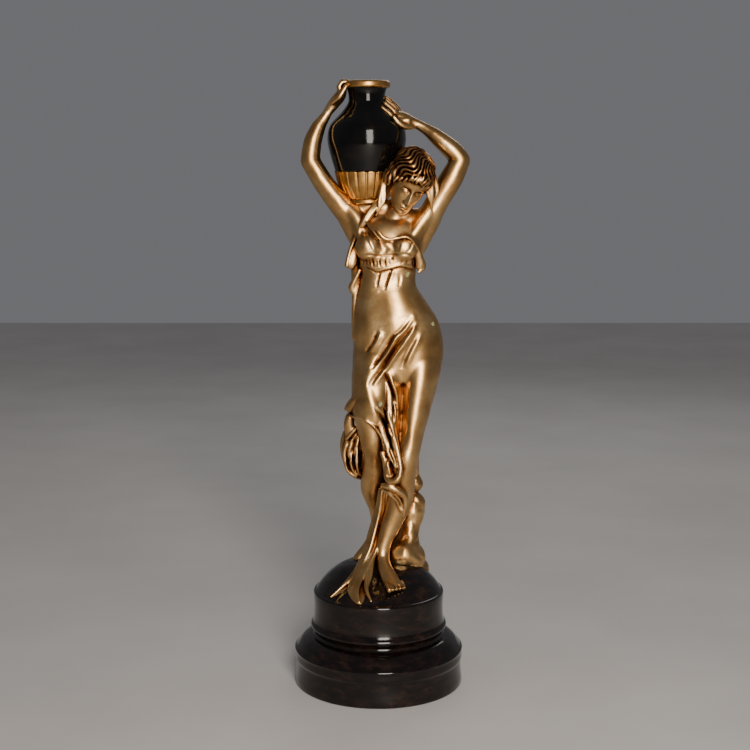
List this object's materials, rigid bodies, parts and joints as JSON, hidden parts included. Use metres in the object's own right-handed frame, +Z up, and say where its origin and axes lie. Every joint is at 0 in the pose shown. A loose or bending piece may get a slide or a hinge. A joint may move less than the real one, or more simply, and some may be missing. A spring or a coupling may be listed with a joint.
{
  "type": "statue of a woman carrying a jar",
  "caption": "Bronze woman in a thin belted dress, holding a black jar on her shoulder, on a round stepped base.",
  "frame": {"origin": "middle of the plinth's flat underside", "axes": "+Z up, the woman faces -Y, her right hand is on the -X side"},
  "size_m": [0.5225, 0.512, 1.805],
  "materials": {
    "bronze": "antiqued gold-brown bronze, polished on the high places",
    "jar_black": "glossy black",
    "base_black": "glossy dark brown-black, a little worn"
  },
  "bodies": {
    "root": {"figure": "bronze", "jar": "jar_black", "drum": "base_black", "plinth": "base_black"}
  },
  "joints": []
}
